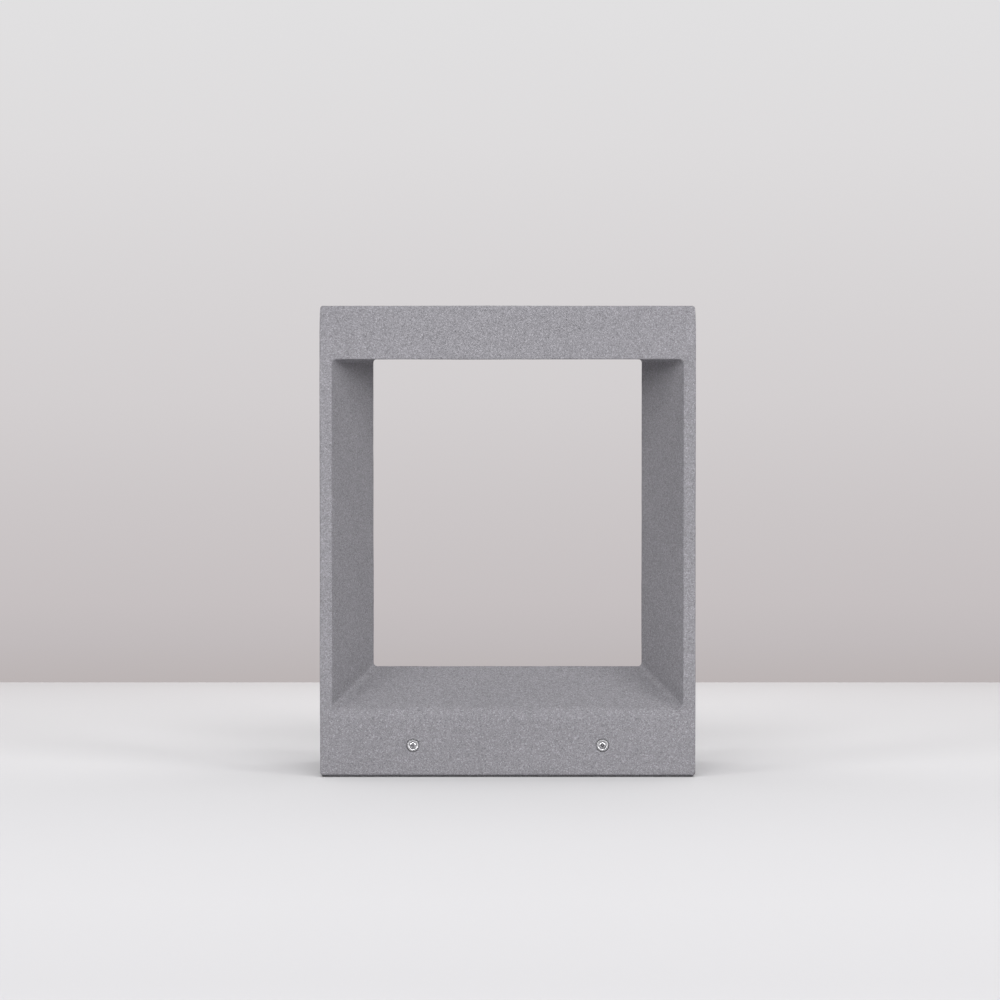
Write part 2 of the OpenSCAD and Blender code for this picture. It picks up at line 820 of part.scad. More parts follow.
module led_board() {
    color("#f2f2ee") difference() {
        slab(2 * board_half_l, 2 * board_half_w, board_t, board_z);
        at_board_screws(board_z - past) cylinder(r = m3_hole_r, h = board_t + 2 * past);
    }
}

module led_chips() {
    well_r = 1.1;
    well_depth = 0.3;
    chip_xs = [for (i = [0:led_columns - 1]) (i - (led_columns - 1) / 2) * led_pitch_x];
    chip_ys = [for (i = [0:led_rows - 1]) (i - (led_rows - 1) / 2) * led_pitch_y];
    color("#f3d35c") for (x = chip_xs, y = chip_ys) translate([x, y, board_z - led_t]) difference() {
        slab(led_side, led_side, led_t);
        translate([0, 0, -past]) cylinder(r = well_r, h = well_depth + past);
    }
}

module board_screws() {
    color("#d0d2d4") at_board_screws(board_z) mirror([0, 0, 1])
        pan_screw(m3_r, board_screw_head_r, board_screw_head_h, board_screw_l, screw_dome_r);
}

module board_connector() {
    slot_l = 3;
    slot_w = 1.8;
    slot_depth = 1;
    color("#fafaf7") translate([connector_x, 0, board_z - connector_h]) difference() {
        translate([0, -connector_half_w, 0]) cube([connector_l, 2 * connector_half_w, connector_h]);
        for (side = [-1, 1]) translate([connector_l / 4, side * connector_half_w / 2 - slot_w / 2, -past])
            cube([slot_l, slot_w, slot_depth + past]);
    }
}

module diffuser_lens() {
    color("#f7f7f3") {
        slab(2 * (cavity_half_l + seal_outer), 2 * (cavity_half_w + seal_outer), lens_flange_t, lens_z);
        slab(2 * (cavity_half_l - aperture_step), 2 * (cavity_half_w - aperture_step), bezel_t,
            lens_z - bezel_t + lens_recess);
    }
}

module lens_gasket() {
    band = seal_outer - seal_inner;
    color("#d9d9d9") ring_slab(cavity_half_l + seal_outer, cavity_half_w + seal_outer, band,
        lens_gasket_t, lens_z + lens_flange_t);
}

module lens_bezel() {
    color("#c9cccf") difference() {
        slab(2 * bezel_half_l, 2 * bezel_half_w, bezel_t, bezel_z);
        slab(2 * cavity_half_l, 2 * cavity_half_w, bezel_t + 2 * past, bezel_z - past);
        at_bezel_screws(bezel_z) mirror([0, 0, 1])
            flat_screw_hole(m3_hole_r, bezel_screw_head_r, bezel_screw_head_h, bezel_t + past);
    }
}

module bezel_screws() {
    color("#d0d2d4") at_bezel_screws(bezel_z) mirror([0, 0, 1])
        flat_screw(m3_r, bezel_screw_head_r, bezel_screw_head_h, bezel_screw_l);
}

stone_frame();
cable_conduit();
base_gasket();
mounting_bracket();
rivet_nuts();
body_screws();
screw_washers();
cable_bush();
wiring_box();
wiring_box_lid();
lid_gasket();
lid_screws();
box_fixing_screws();
led_driver();
driver_leads();
terminal_block();
terminal_sleeves();
terminal_screws();
terminal_block_screws();
inlet_gland_body();
inlet_gland_seal();
inlet_gland_cap();
lead_gland_bodies();
lead_gland_seals();
lead_gland_caps();
gland_locknuts();
led_lead();
lead_cores();
led_housing();
housing_inserts();
housing_screws();
thermal_pad();
led_board();
led_chips();
board_screws();
board_connector();
diffuser_lens();
lens_gasket();
lens_bezel();
bezel_screws();
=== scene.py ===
"""Looks of the garden lantern: its cast stone, its screws and seal, and the finish of every inner part.

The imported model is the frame, in metres: X to the right, Y from the front to the back, Z up.
"""

import math

import bmesh
import bpy
import numpy as np
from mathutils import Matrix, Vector, noise


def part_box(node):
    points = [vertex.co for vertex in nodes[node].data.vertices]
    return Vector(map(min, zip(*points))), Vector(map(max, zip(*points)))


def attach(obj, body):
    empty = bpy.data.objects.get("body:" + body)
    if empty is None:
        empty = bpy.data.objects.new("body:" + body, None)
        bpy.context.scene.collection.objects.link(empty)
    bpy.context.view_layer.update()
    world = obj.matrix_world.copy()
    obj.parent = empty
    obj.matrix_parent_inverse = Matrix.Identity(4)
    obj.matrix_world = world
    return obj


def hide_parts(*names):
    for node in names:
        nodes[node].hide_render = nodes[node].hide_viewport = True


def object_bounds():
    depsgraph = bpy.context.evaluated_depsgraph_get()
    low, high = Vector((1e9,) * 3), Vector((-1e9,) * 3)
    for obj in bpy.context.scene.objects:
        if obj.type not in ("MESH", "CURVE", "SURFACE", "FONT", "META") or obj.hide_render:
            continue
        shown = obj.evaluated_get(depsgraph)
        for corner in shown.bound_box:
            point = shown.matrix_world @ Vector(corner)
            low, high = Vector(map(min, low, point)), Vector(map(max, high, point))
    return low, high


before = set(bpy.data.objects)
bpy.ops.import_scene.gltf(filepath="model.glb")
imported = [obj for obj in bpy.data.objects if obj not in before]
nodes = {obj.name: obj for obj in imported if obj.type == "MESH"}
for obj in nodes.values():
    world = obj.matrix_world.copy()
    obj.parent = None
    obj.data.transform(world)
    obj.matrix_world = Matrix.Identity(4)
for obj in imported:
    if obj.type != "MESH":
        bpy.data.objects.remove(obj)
cad_low, cad_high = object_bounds()
MM = 0.001

# ---- the camera's place and the room

CAMERA_DISTANCE = 2.4  # from the lantern's front face
EYE_HEIGHT = 0.2275
LOOK_HEIGHT = 0.1478  # the height on the front face that the camera looks at
CAMERA_ASIDE = -0.0041
LENS = 162.6
WALL_BEHIND = 0.638
WALL_HEIGHTS = (-0.5, 2.5)
ROOM_REACH = 4.0
WORLD_LIGHT, WORLD_SEEN = 0.155, 0.62  # how strong the room is as a light, and how strong it looks
PAINTED_FLOOR_SHADE_FRONT = -1.2  # where the floor's painted shade begins; it ends at the backdrop
PAINTED_FLOOR_SHADE = [  # the floor's tones from there to the backdrop: painted shade, darker towards the camera, that tones down the lamps' light near the front
    (0.20, (0.535, 0.530, 0.542)),
    (0.33, (0.585, 0.580, 0.592)),
    (0.50, (0.615, 0.610, 0.622)),
    (0.61, (0.635, 0.630, 0.640)),
    (0.75, (0.675, 0.668, 0.676)),
    (0.96, (0.715, 0.706, 0.712)),
]
BACKDROP_TOP = 0.46  # the height that the camera sees the backdrop up to
BACKDROP_GLOW = [  # the backdrop's glow, as display values, from the floor up: painted light, with painted shade darker towards the floor
    (0.0, (187, 180, 180)),
    (0.06, (193, 187, 188)),
    (0.12, (198, 192, 193)),
    (0.27, (204, 199, 200)),
    (0.42, (211, 207, 208)),
    (0.60, (216, 213, 214)),
    (0.80, (222, 220, 221)),
    (1.0, (225, 224, 225)),
]

SOFTBOXES = [  # name, place, width, height, watts; each faces the lantern's middle
    ("key_left", (-1.95, -2.05, 0.88), 1.2, 0.8, 38),
    ("key_right", (1.95, -2.05, 0.88), 1.2, 0.8, 46.5),
    ("front_top", (0.0, -2.2, 2.30), 1.9, 1.0, 55),
    ("overhead", (0, 0.15, 2.3), 2.0, 1.4, 12),
    ("back_fill", (0, 0.56, 0.8), 1.6, 0.3, 1.1),
]

# ---- how the stone was cast

# heights between which the CAD stone's vertices outline one shape and nothing else
WINDOW_SLICE = (25 * MM, 10 * MM)  # above the stone's foot and below its top
RIDGE_SLICE = (40 * MM, 0.1 * MM)  # above the stone's foot, and above the window's top
POCKET_SLICE = (25 * MM, 36 * MM)  # above the stone's foot
REBATE_SLICE = (1 * MM, 4 * MM)  # above the underside of the top beam
ENGINE_SLICE = (4 * MM, 9 * MM)  # above the underside of the top beam and below the stone's top

GRID = 2.5 * MM  # spacing of the stone's mesh
STEPS_DEEP, STEPS_FACE, STEPS_BEVEL = 40, 12, 22
ARC_STEPS, FILLET_STEPS, BEND_STEPS = 6, 4, 12
OUTER_CORNER = 1.5 * MM
SILL_BAND = 2.7 * MM  # the flat bands that cut off the window's bottom corners, at its front
FRONT_CORNER = 2.6 * MM  # the fillets of the window's two top corners at its front
RIDGE_CORNER = 1.9 * MM  # and of all four corners at its ridge
OUTER_ARRIS = 1.3 * MM
WINDOW_ARRIS = 0.8 * MM
SILL_ARRIS = 4.5 * MM  # the sill's front edge is worn softer than the others
RIDGE_ARRIS = 1.2 * MM
ARRIS_WEAR = 0.25
WAVES = [(38 * MM, 0.12 * MM), (11 * MM, 0.05 * MM), (4 * MM, 0.025 * MM)]
TOP_LEAN = 0.5 * MM  # the sides lean in by this much over the top stretch
LEAN_STRETCH = 16 * MM
PASSAGE_R = 1.7 * MM
WASHER_T, WASHER_GAP = 0.5 * MM, 0.1 * MM
PITS_LOW, PITS_TOP, PITS_END = 9, 6, 8  # air holes in each face's bottom beam and top beam, and in each side
PIT_R = (0.2 * MM, 0.4 * MM)
MARKED_PIT_X, MARKED_PIT_Z, MARKED_PIT_R = 3.5 * MM, 2.0 * MM, 0.32 * MM  # beside the left front screw

# ---- the stone's colour and grain

STONE = (0.218, 0.213, 0.229)
SAND, DUST, BRIGHT_GRAIN, DARK_GRAIN = 0.41 * MM, 0.23 * MM, 0.7 * MM, 0.9 * MM
TOP_LIGHT_SHARE, LOW_SHADE_SHARE = 1.06, 0.95  # shares of the stone's tone: painted light on faces that look up, and painted shade near the floor
LOW_SHADE_FULL, LOW_SHADE_TOP = 0.03, 0.07  # heights up to which the painted shade near the floor is full, and that it reaches

# ---- screws and seal

SHANK_R = 1.47 * MM
SCREW_TIP = 31 * MM  # from the lantern's middle plane
RIM_R, RIM_HALF, DOME_R = 0.86, 0.14, 0.60  # shares of the head's radius
COLLAR_R, COLLAR_TOP = 1.11, 0.72  # the collar under the rim: shares of the head's radius and height
RIM_TILT = math.radians(42)  # how far the rim's rounded top leans at its edges
RIM_TOP, GROOVE_TOP, DOME_FOOT = 0.90, 0.50, 0.72  # heights on the head, as shares of its own
GROOVE_OUT, GROOVE_IN = 0.71, 0.63  # shares of the head's radius
CROSS_REACH, CROSS_HALF = 0.44, 0.10  # the recess's wings: shares of the head's radius
CROSS_DEEP = 0.80  # share of the head's height
FOAM_BAND = 8 * MM
FOAM_CORNER = 3 * MM
FOAM_SIDE = [  # one side of the strip's section, as shares of its thickness: inwards, upwards
    (0.30, 0.0),
    (0.06, 0.05),
    (-0.08, 0.28),
    (-0.14, 0.5),
    (-0.08, 0.72),
    (0.06, 0.95),
    (0.30, 1.0),
]


# ---- mesh helpers


def mesh_object(name, verts, faces):
    mesh = bpy.data.meshes.new(name)
    mesh.from_pydata([tuple(v) for v in verts], [], faces)
    mesh.validate()
    obj = bpy.data.objects.new(name, mesh)
    bpy.context.scene.collection.objects.link(obj)
    return obj


def object_from(name, bm):
    """An object from a bmesh, which is used up."""
    mesh = bpy.data.meshes.new(name)
    bm.to_mesh(mesh)
    bm.free()
    obj = bpy.data.objects.new(name, mesh)
    bpy.context.scene.collection.objects.link(obj)
    return obj


def smooth_by_angle(obj, degrees=35):
    """Smooth shading with sharp edges where two faces meet at more than this angle."""
    bm = bmesh.new()
    bm.from_mesh(obj.data)
    limit = math.radians(degrees)
    for face in bm.faces:
        face.smooth = True
    for edge in bm.edges:
        edge.smooth = len(edge.link_faces) == 2 and edge.calc_face_angle(0) < limit
    bm.to_mesh(obj.data)
    bm.free()


def closed_grid(rows, name):
    """A mesh from rows of points that close on themselves both along and across the rows."""
    n, m = len(rows), len(rows[0])
    verts = [p for row in rows for p in row]
    faces = [
        (i * m + j, i * m + (j + 1) % m, (i + 1) % n * m + (j + 1) % m, (i + 1) % n * m + j)
        for i in range(n)
        for j in range(m)
    ]
    obj = mesh_object(name, verts, faces)
    face_outwards(obj)
    return obj


def tube(name, points, radius, sides=24):
    """A capped round tube along points in the XZ plane."""
    rings = []
    for i, p in enumerate(points):
        along = (points[min(i + 1, len(points) - 1)] - points[max(i - 1, 0)]).normalized()
        side = Vector((0, 1, 0))
        up = along.cross(side)
        for k in range(sides):
            angle = 2 * math.pi * k / sides
            rings.append(p + radius * (math.cos(angle) * side + math.sin(angle) * up))
    count = len(points)
    faces = [
        (i * sides + k, i * sides + (k + 1) % sides, (i + 1) * sides + (k + 1) % sides, (i + 1) * sides + k)
        for i in range(count - 1)
        for k in range(sides)
    ]
    faces.append(tuple(reversed(range(sides))))
    faces.append(tuple(range((count - 1) * sides, count * sides)))
    obj = mesh_object(name, rings, faces)
    face_outwards(obj)
    return obj


def face_outwards(obj):
    bm = bmesh.new()
    bm.from_mesh(obj.data)
    bmesh.ops.recalc_face_normals(bm, faces=bm.faces)
    bm.to_mesh(obj.data)
    bm.free()


def lathe(name, profile, sides=64):
    """A closed solid from (radius, height) points turned about Z, the first and last on the axis."""
    verts = [Vector((0, 0, profile[0][1]))]
    for r, h in profile[1:-1]:
        for k in range(sides):
            angle = 2 * math.pi * k / sides
            verts.append(Vector((r * math.cos(angle), r * math.sin(angle), h)))
    verts.append(Vector((0, 0, profile[-1][1])))
    rings = len(profile) - 2
    last = len(verts) - 1
    faces = [(0, 1 + (k + 1) % sides, 1 + k) for k in range(sides)]
    for i in range(rings - 1):
        a, b = 1 + i * sides, 1 + (i + 1) * sides
        faces += [(a + k, a + (k + 1) % sides, b + (k + 1) % sides, b + k) for k in range(sides)]
    top = 1 + (rings - 1) * sides
    faces += [(top + k, top + (k + 1) % sides, last) for k in range(sides)]
    obj = mesh_object(name, verts, faces)
    face_outwards(obj)
    return obj


def cuboid(name, low, high):
    xs, ys, zs = zip(low, high)
    corners = [Vector((x, y, z)) for z in zs for y in ys for x in xs]
    faces = [(0, 2, 3, 1), (4, 5, 7, 6), (0, 1, 5, 4), (2, 6, 7, 3), (0, 4, 6, 2), (1, 3, 7, 5)]
    return mesh_object(name, corners, faces)


def cut(obj, cutters, solver="EXACT"):
    """Takes the cutters' shapes out of obj, one after another, and removes the cutters."""
    for cutter in cutters:
        modifier = obj.modifiers.new("cut", "BOOLEAN")
        modifier.operation = "DIFFERENCE"
        modifier.solver = solver
        modifier.object = cutter
        apply_modifiers(obj)
        bpy.data.objects.remove(cutter)


def apply_modifiers(obj):
    bpy.context.view_layer.update()
    done = bpy.data.meshes.new_from_object(obj.evaluated_get(bpy.context.evaluated_depsgraph_get()))
    obj.modifiers.clear()
    old, obj.data = obj.data, done
    bpy.data.meshes.remove(old)


def join(name, objects):
    """One object from several, whose meshes stay separate solids."""
    bm = bmesh.new()
    for o in objects:
        o.data.transform(o.matrix_world)
        bm.from_mesh(o.data)
    for o in objects:
        bpy.data.objects.remove(o)
    return object_from(name, bm)


def bounds_within(node, low, high):
    """The box of a CAD node's vertices that lie between two corners."""
    inside = [v.co for v in nodes[node].data.vertices if all(low[i] <= v.co[i] <= high[i] for i in range(3))]
    co = np.array(inside, float).reshape(-1, 3)
    return Vector(co.min(0)), Vector(co.max(0))


def drift(point, size, seed):
    """Smooth noise from -1 to 1 that changes over about the given size."""
    return noise.noise(point / size + Vector((seed * 17.3, seed * 5.1, seed * 9.7)))


# ---- the stone frame


def round_rect(half_x, y0, y1, radius, across, up, band=0.0):
    """The points round a rounded rectangle, whose bottom corners are cut off straight if it has a band."""
    quarter = math.pi / 2
    low = band or radius
    corners = [
        (half_x - low, y0 + low, low, -quarter, up),
        (half_x - radius, y1 - radius, radius, 0.0, across),
        (-half_x + radius, y1 - radius, radius, quarter, up),
        (-half_x + low, y0 + low, low, 2 * quarter, across),
    ]
    points = []
    arcs = []
    for cx, cy, r, start, _ in corners:
        angles = [start + quarter * k / ARC_STEPS for k in range(ARC_STEPS + 1)]
        arcs.append([Vector((cx + r * math.cos(a), cy + r * math.sin(a))) for a in angles])
    for i, arc in enumerate(arcs):
        if band and i in (0, 3):
            arc = [arc[0].lerp(arc[-1], k / ARC_STEPS) for k in range(ARC_STEPS + 1)]
        steps = corners[i][-1]
        points += arc
        points += [arc[-1].lerp(arcs[(i + 1) % 4][0], k / steps) for k in range(1, steps)]
    return points


def stone_section(outer, edge, ridge, half_d, sill_share):
    """The points round the stone's section at one place along the window, with every arris rounded."""
    corners = [
        Vector((outer.x, -half_d, outer.y)),
        Vector((outer.x, half_d, outer.y)),
        Vector((edge.x, half_d, edge.y)),
        Vector((ridge.x, 0, ridge.y)),
        Vector((edge.x, -half_d, edge.y)),
    ]
    window_arris = WINDOW_ARRIS + (SILL_ARRIS - WINDOW_ARRIS) * sill_share
    trims = [OUTER_ARRIS, OUTER_ARRIS, window_arris, RIDGE_ARRIS, window_arris]
    stretches = [STEPS_DEEP, STEPS_FACE, STEPS_BEVEL, STEPS_BEVEL, STEPS_FACE]
    fillets = []
    for i, corner in enumerate(corners):
        trim = trims[i] * (1 + ARRIS_WEAR * drift(corner, 9 * MM, i))
        start = corner + (corners[i - 1] - corner).normalized() * trim
        stop = corner + (corners[(i + 1) % 5] - corner).normalized() * trim
        fillets.append((start, corner, stop))
    points = []
    for i, (start, corner, stop) in enumerate(fillets):
        for s in range(FILLET_STEPS + 1):
            t = s / FILLET_STEPS
            points.append((1 - t) ** 2 * start + 2 * t * (1 - t) * corner + t * t * stop)
        target = fillets[(i + 1) % 5][0]
        points += [stop.lerp(target, s / stretches[i]) for s in range(1, stretches[i])]
    return points


def window_outline():
    """The window's outline on the CAD stone's front face, clear of the screws and the outer edges."""
    low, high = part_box("stone_frame")
    return bounds_within(
        "stone_frame",
        (-0.99 * high.x, -high.y - MM, low.z + WINDOW_SLICE[0]),
        (0.99 * high.x, MM - high.y, high.z - WINDOW_SLICE[1]),
    )


def stone_body():
    low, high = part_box("stone_frame")
    half_w, half_d = high.x, high.y
    edge_low, edge_high = window_outline()
    # the window's outline halfway back, clear of the duct
    ridge_low, ridge_high = bounds_within(
        "stone_frame",
        (-0.78 * half_w, -0.1 * MM, low.z + RIDGE_SLICE[0]),
        (0.78 * half_w, 0.1 * MM, edge_high.z + RIDGE_SLICE[1]),
    )
    across, up = round(2 * half_w / GRID), round((high.z - low.z) / GRID)
    outer = round_rect(half_w, low.z, high.z, OUTER_CORNER, across, up)
    edge = round_rect(edge_high.x, edge_low.z, edge_high.z, FRONT_CORNER, across, up, SILL_BAND)
    ridge = round_rect(ridge_high.x, ridge_low.z, ridge_high.z, RIDGE_CORNER, across, up)
    rows = []
    for o, e, r in zip(outer, edge, ridge):
        sill_share = min(max(1 - (e.y - edge_low.z) / SILL_BAND, 0), 1)
        rows.append(stone_section(o, e, r, half_d, sill_share))
    stone = closed_grid(rows, "cast_stone_frame")
    roughen(stone, low, high, edge_high.x)
    return stone


def roughen(stone, low, high, window_half_w):
    """Gives the cast faces their slight unevenness, and the sides their lean near the top."""
    mesh = stone.data
    normals = np.array([v.normal for v in mesh.vertices])
    for v, n in zip(mesh.vertices, normals):
        if v.co.z < low.z + 0.3 * MM:
            continue
        wave = sum(depth * drift(v.co, size, seed) for seed, (size, depth) in enumerate(WAVES))
        v.co += Vector(n) * wave
        rise = max(v.co.z - (high.z - LEAN_STRETCH), 0) / LEAN_STRETCH
        side = max(abs(v.co.x) - window_half_w, 0) / (high.x - window_half_w)
        v.co.x -= math.copysign(TOP_LEAN * rise * rise * side, v.co.x)


def stone_cutters():
    """The pockets, duct and holes of the CAD stone, from its vertices and its neighbours' boxes."""
    low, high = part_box("stone_frame")
    wide, deep = 0.75 * high.x, 0.8 * high.y
    soffit = window_outline()[1].z

    def hollow(bottom, top):
        return bounds_within("stone_frame", (-wide, -deep, bottom), (wide, deep, top))

    pocket_low, pocket_high = hollow(low.z + POCKET_SLICE[0], low.z + POCKET_SLICE[1])
    rebate_low, rebate_high = hollow(soffit + REBATE_SLICE[0], soffit + REBATE_SLICE[1])
    engine_low, engine_high = hollow(soffit + ENGINE_SLICE[0], high.z - ENGINE_SLICE[1])
    engine_high.x = -engine_low.x  # the duct opens into the right end, whose vertices reach further
    cutters = [
        cuboid("pocket", (pocket_low.x, pocket_low.y, low.z - MM), pocket_high),
        cuboid("rebate", (rebate_low.x, rebate_low.y, soffit - MM), rebate_high),
        cuboid("engine", (engine_low.x, engine_low.y, soffit), engine_high),
        duct_cutter(),
    ]
    washer_low, washer_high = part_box("screw_washers")
    counterbore_r = (washer_high.z - washer_low.z) / 2 + WASHER_GAP
    depths = 0.95 * pocket_high.y, washer_high.y - WASHER_T, high.y + MM
    for x, z in screw_places():
        for side in (-1, 1):
            inside, seat, outside = ((x, side * y, z) for y in depths)
            cutters.append(rod("passage", inside, outside, PASSAGE_R))
            cutters.append(rod("counterbore", seat, outside, counterbore_r))
    insert_low, insert_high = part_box("housing_inserts")
    for side in (-1, 1):
        x = side * (insert_high.x - insert_high.y)
        cutters.append(rod("insert", (x, 0, insert_low.z - MM), (x, 0, insert_high.z), insert_high.y))
    cutters.append(pits())
    return cutters


def rod(name, start, end, radius, sides=48):
    """A capped cylinder between two points."""
    start, end = Vector(start), Vector(end)
    obj = lathe(name, [(0, 0), (radius, 0), (radius, (end - start).length), (0, (end - start).length)], sides)
    obj.rotation_mode = "QUATERNION"
    obj.rotation_quaternion = (end - start).to_track_quat("Z", "Y")
    obj.location = start
    bpy.context.view_layer.update()
    return obj


def duct_cutter():
    """The duct's outside: two bends joined by an upright run, ending in the pockets."""
    low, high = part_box("cable_conduit")
    radius = high.y
    bend = high.x - radius - low.x
    z0, z1 = low.z + radius, high.z - radius
    points = [Vector((low.x - MM, 0, z0))]
    for k in range(BEND_STEPS + 1):
        a = math.pi / 2 * k / BEND_STEPS
        points.append(Vector((low.x + bend * math.sin(a), 0, z0 + bend * (1 - math.cos(a)))))
    for k in range(BEND_STEPS + 1):
        a = math.pi / 2 * k / BEND_STEPS
        points.append(Vector((low.x + bend * math.cos(a), 0, z1 - bend * (1 - math.sin(a)))))
    points.append(Vector((low.x - MM, 0, z1)))
    return tube("duct", points, radius)


def screw_places():
    low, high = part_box("body_screws")
    head_r = (high.z - low.z) / 2
    return [(side * (high.x - head_r), (low.z + high.z) / 2) for side in (-1, 1)]


def pits():
    """Small air holes in the cast faces, one of them beside the left front screw."""
    rng = np.random.default_rng(11)
    low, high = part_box("stone_frame")
    (left_x, screw_z), _ = screw_places()
    places = [(Vector((left_x + MARKED_PIT_X, -high.y, screw_z + MARKED_PIT_Z)), MARKED_PIT_R)]

    def scatter(count, *axes):
        """Adds holes, drawing each one's place between the two numbers given for each axis."""
        for _ in range(count):
            place = Vector([a + (b - a) * rng.uniform() if a != b else a for a, b in axes])
            places.append((place, rng.uniform(*PIT_R)))

    across = (-0.9 * high.x, 0.9 * high.x)
    for y in (-high.y, high.y):
        scatter(PITS_LOW, across, (y, y), (low.z + 2 * MM, low.z + 30 * MM))
        scatter(PITS_TOP, across, (y, y), (high.z - 3 * MM, high.z - 26 * MM))
    for x in (-high.x, high.x):
        scatter(PITS_END, (x, x), (-0.9 * high.y, 0.9 * high.y), (0.1 * high.z, 0.9 * high.z))
    holes = []
    for centre, r in places:
        bm = bmesh.new()
        bmesh.ops.create_icosphere(bm, subdivisions=2, radius=r)
        for v in bm.verts:
            v.co *= 1 + 0.3 * drift(v.co + centre, r, 3)
        hole = object_from("pit", bm)
        hole.location = centre
        holes.append(hole)
    bpy.context.view_layer.update()
    return join("pits", holes)


# ---- screws and seal


def screw_head(at, side):
    """A pan screw with a rolled rim, whose head bears at 0 and rises along Z, turned to lie along Y."""
    low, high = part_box("body_screws")
    head_r = (high.z - low.z) / 2
    washer_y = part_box("screw_washers")[1].y
    head_h = high.y - washer_y
    tip = SCREW_TIP - washer_y
    profile = [(0, tip), (0.7 * SHANK_R, tip), (SHANK_R, tip + 0.6 * MM), (SHANK_R, 0)]
    collar_r, collar_h = COLLAR_R * head_r, COLLAR_TOP * head_h
    profile += [(0.96 * collar_r, 0), (collar_r, 0.05 * head_h)]
    profile += [(collar_r, 0.94 * collar_h), (0.98 * collar_r, collar_h), (head_r, collar_h)]
    curve = RIM_HALF * head_r / math.sin(RIM_TILT)
    for k in range(9):
        lean = RIM_TILT * (1 - k / 4)
        rise = RIM_TOP * head_h - curve * (1 - math.cos(lean))
        profile.append((RIM_R * head_r + curve * math.sin(lean), rise))
    profile += [(GROOVE_OUT * head_r, GROOVE_TOP * head_h), (GROOVE_IN * head_r, GROOVE_TOP * head_h)]
    for k in range(8):
        a = math.pi / 2 * k / 8
        rise = head_h * (DOME_FOOT + (1 - DOME_FOOT) * math.sin(a))
        profile.append((DOME_R * head_r * math.cos(a), rise))
    profile += [(0, head_h)]
    screw = lathe("screw", profile, 72)
    cut(screw, [cross_cutter(head_r, head_h)])
    screw.rotation_euler = (math.pi / 2, 0, 0 if side < 0 else math.pi)
    screw.location = (at[0], side * washer_y, at[1])
    bpy.context.view_layer.update()
    return screw


def cross_cutter(head_r, head_h):
    """A cross recess: four wings that taper to a blunt point."""
    bm = bmesh.new()
    reach, half, depth = CROSS_REACH * head_r, CROSS_HALF * head_r, CROSS_DEEP * head_h
    top = head_h + 0.2 * MM
    outline = []
    for quarter in range(4):
        a = quarter * math.pi / 2
        along, across = Vector((math.cos(a), math.sin(a), 0)), Vector((-math.sin(a), math.cos(a), 0))
        outline += [along * reach - across * half, along * reach + across * half]
        outline.append((along + across) * 2.2 * half)
    levels = [(1.06, top), (0.95, 0.62 * head_h), (0.45, head_h - depth), (0.16, head_h - depth - 0.3 * MM)]
    rings = [[bm.verts.new(p * share + Vector((0, 0, z))) for p in outline] for share, z in levels]
    for a, b in zip(rings, rings[1:]):
        for k in range(len(a)):
            bm.faces.new((a[k], a[(k + 1) % len(a)], b[(k + 1) % len(a)], b[k]))
    bm.faces.new(rings[0])
    bm.faces.new(rings[-1])
    bmesh.ops.recalc_face_normals(bm, faces=bm.faces)
    return object_from("cross", bm)


def body_screws():
    return join("pan_head_screws", [screw_head(place, side) for side in (-1, 1) for place in screw_places()])


def foam_gasket():
    """The foam strip under the stone, squeezed so that its sides bulge."""
    low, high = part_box("base_gasket")
    across, deep = round(2 * high.x / GRID), round(2 * high.y / GRID)
    outside = round_rect(high.x, low.y, high.y, FOAM_CORNER, across, deep)
    half_x, y0, y1 = high.x - FOAM_BAND, low.y + FOAM_BAND, high.y - FOAM_BAND
    inside = round_rect(half_x, y0, y1, FOAM_CORNER / 2, across, deep)
    h = high.z - low.z
    rows = []
    for o, i in zip(outside, inside):
        inward = (i - o).normalized()
        row = []
        for end, sense, order in ((o, 1, FOAM_SIDE), (i, -1, FOAM_SIDE[::-1])):
            for step, level in order:
                swell = step * h * (1 + 0.3 * drift(Vector((end.x, end.y, 0)), 6 * MM, 5))
                p = end + inward * sense * swell
                row.append(Vector((p.x, p.y, low.z + h * level)))
        rows.append(row)
    return closed_grid(rows, "foam_base_gasket")


# ---- finishes


